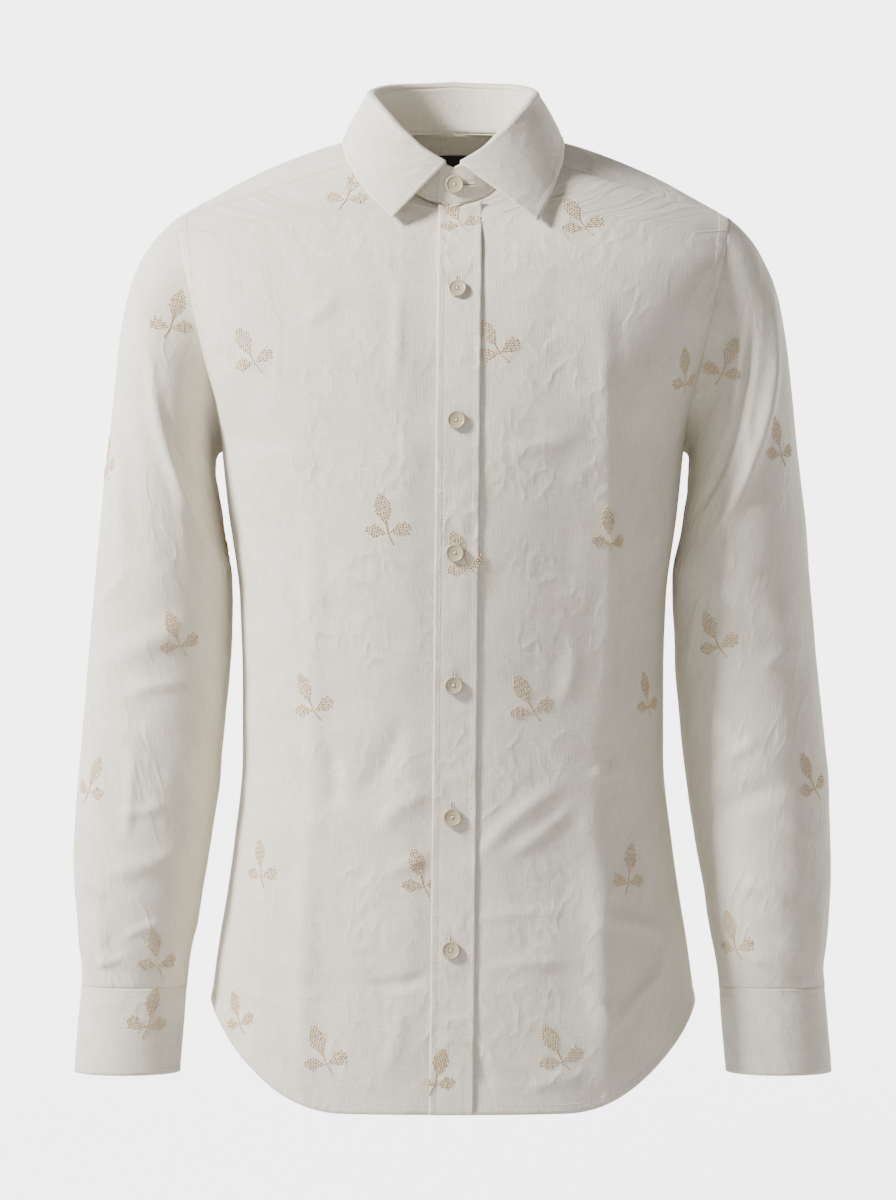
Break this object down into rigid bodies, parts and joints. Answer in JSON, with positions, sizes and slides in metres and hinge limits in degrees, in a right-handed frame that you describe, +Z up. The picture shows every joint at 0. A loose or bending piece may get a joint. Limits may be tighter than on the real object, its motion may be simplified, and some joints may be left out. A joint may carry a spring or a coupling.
{
  "type": "embroidered linen shirt",
  "caption": "Long-sleeved buttoned linen shirt with a pointed collar and scattered embroidered leaf sprigs, filled out as worn.",
  "frame": {"origin": "middle of the neck, level with the high shoulder points, where the wearer's neck and shoulders carry the shirt", "axes": "+Z up, -Y out of the front, +X towards the wearer's left"},
  "size_m": [0.602, 0.25, 0.8245],
  "materials": {
    "linen": "matte plain weave with slubs, cream, with tan embroidery",
    "button": "pale horn look, satin",
    "label": "matte black, blank"
  },
  "bodies": {
    "root": {"front_right": "linen", "front_left": "linen", "placket": "linen", "back": "linen", "yoke": "linen", "collar_stand": "linen", "collar_fall": "linen", "sleeve_right": "linen", "sleeve_left": "linen", "cuff_right": "linen", "cuff_left": "linen", "gauntlet_right": "linen", "gauntlet_left": "linen", "button_1": "button", "button_2": "button", "button_3": "button", "button_4": "button", "button_5": "button", "button_6": "button", "button_7": "button", "cuff_button_right": "button", "cuff_button_left": "button", "neck_label": "label"}
  },
  "joints": []
}
